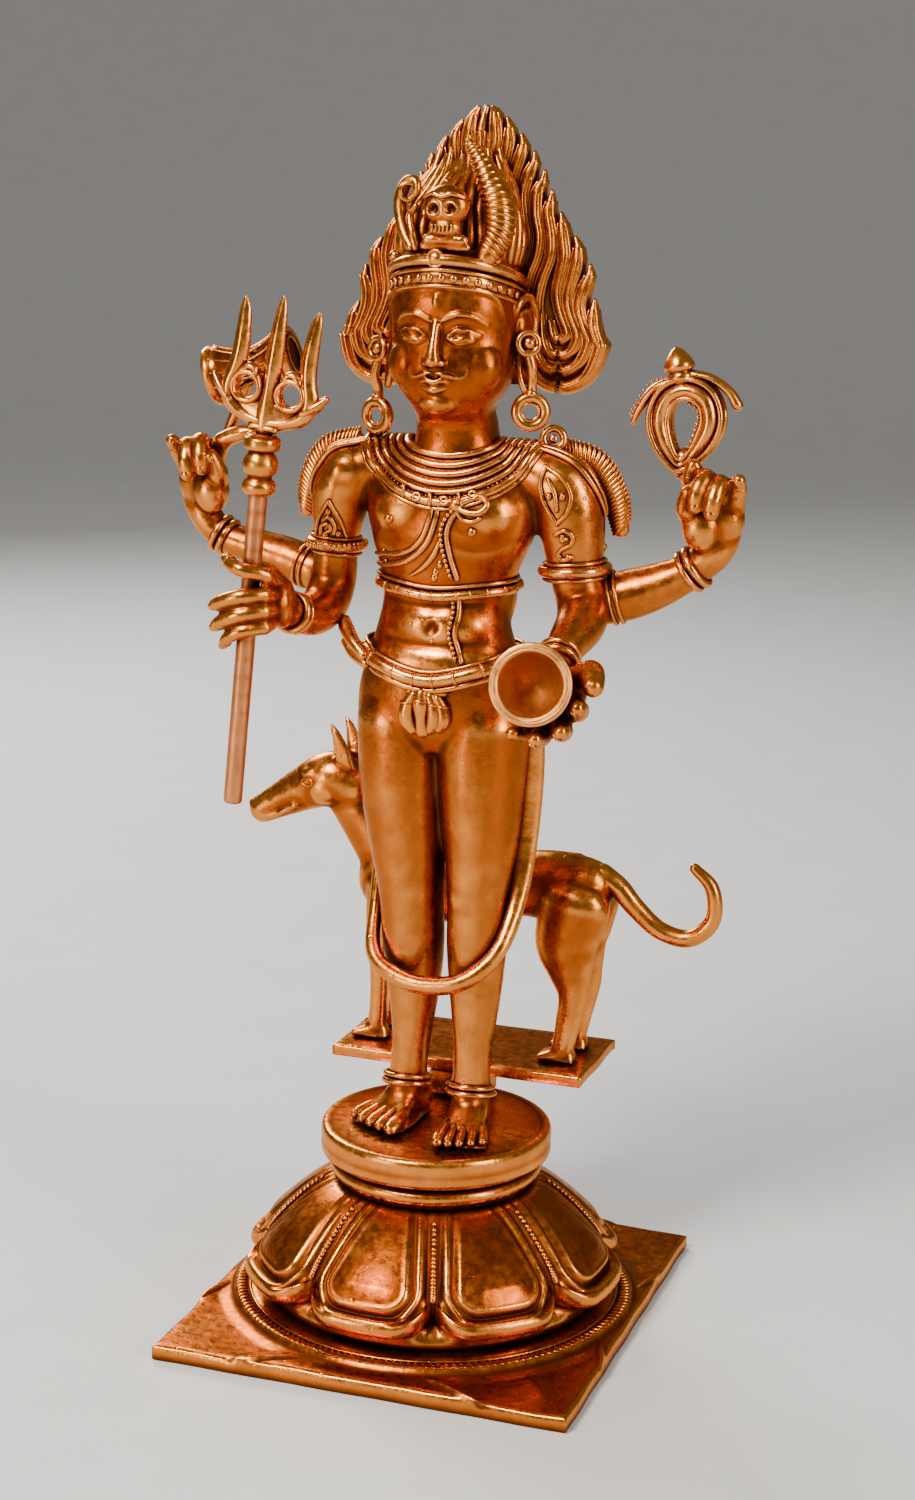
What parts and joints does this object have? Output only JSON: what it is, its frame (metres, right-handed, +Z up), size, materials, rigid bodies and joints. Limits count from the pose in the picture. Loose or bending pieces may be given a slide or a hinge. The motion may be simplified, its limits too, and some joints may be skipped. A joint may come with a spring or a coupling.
{
  "type": "standing deity statue",
  "caption": "Standing temple figure with flame hair, holding a trident that slides in its fist, a hand drum, a noose and a bowl, on a lotus pedestal with a dog on a plate behind.",
  "frame": {"origin": "middle of the base plate's underside", "axes": "+Z up, the figure faces -Y, its own left hand is towards +X"},
  "size_m": [0.0759, 0.058, 0.1534],
  "materials": {
    "antique_copper": "dark cast copper, hand-chased and rubbed bright on the high places",
    "rubbed_copper": "chased copper, worn brighter than the body",
    "drawn_copper": "plain drawn copper rod, dull"
  },
  "bodies": {
    "statue": {"figure_body": "antique_copper", "head": "antique_copper", "hair_pile": "antique_copper", "flame_hair": "antique_copper", "crown_band": "rubbed_copper", "crown_skull": "rubbed_copper", "crown_blossom": "antique_copper", "crown_serpent": "antique_copper", "throat_ring": "rubbed_copper", "necklace": "rubbed_copper", "chest_band": "rubbed_copper", "sacred_thread_upper": "rubbed_copper", "sacred_thread_lower": "rubbed_copper", "hip_belt": "rubbed_copper", "belt_pendants": "rubbed_copper", "long_garland": "antique_copper", "shoulder_fringe_right": "antique_copper", "earring_right": "rubbed_copper", "armlet_right": "rubbed_copper", "anklet_right": "rubbed_copper", "shoulder_fringe_left": "antique_copper", "earring_left": "rubbed_copper", "armlet_left": "rubbed_copper", "anklet_left": "rubbed_copper", "arm_front_right": "antique_copper", "bracelet_front_right": "rubbed_copper", "arm_front_left": "antique_copper", "bracelet_front_left": "rubbed_copper", "arm_rear_right": "antique_copper", "bracelet_rear_right": "rubbed_copper", "arm_rear_left": "antique_copper", "bracelet_rear_left": "rubbed_copper", "shoulder_ring": "rubbed_copper", "skull_bowl": "rubbed_copper", "hand_drum": "antique_copper", "drum_stem": "antique_copper", "noose": "rubbed_copper", "dog": "antique_copper", "dog_tail": "antique_copper", "base_plate": "antique_copper", "lotus_bell": "antique_copper", "neck_ring": "antique_copper", "standing_drum": "antique_copper", "dog_plate": "antique_copper", "dog_plate_bracket": "antique_copper"},
    "trident": {"trident_shaft": "drawn_copper", "trident_collar": "antique_copper", "trident_head": "rubbed_copper"}
  },
  "joints": [
    {"name": "trident_slide", "type": "slide", "parent": "statue", "child": "trident", "axis": [0.087, 0, 0.9962], "range_m": [-0.006, 0.018]}
  ]
}
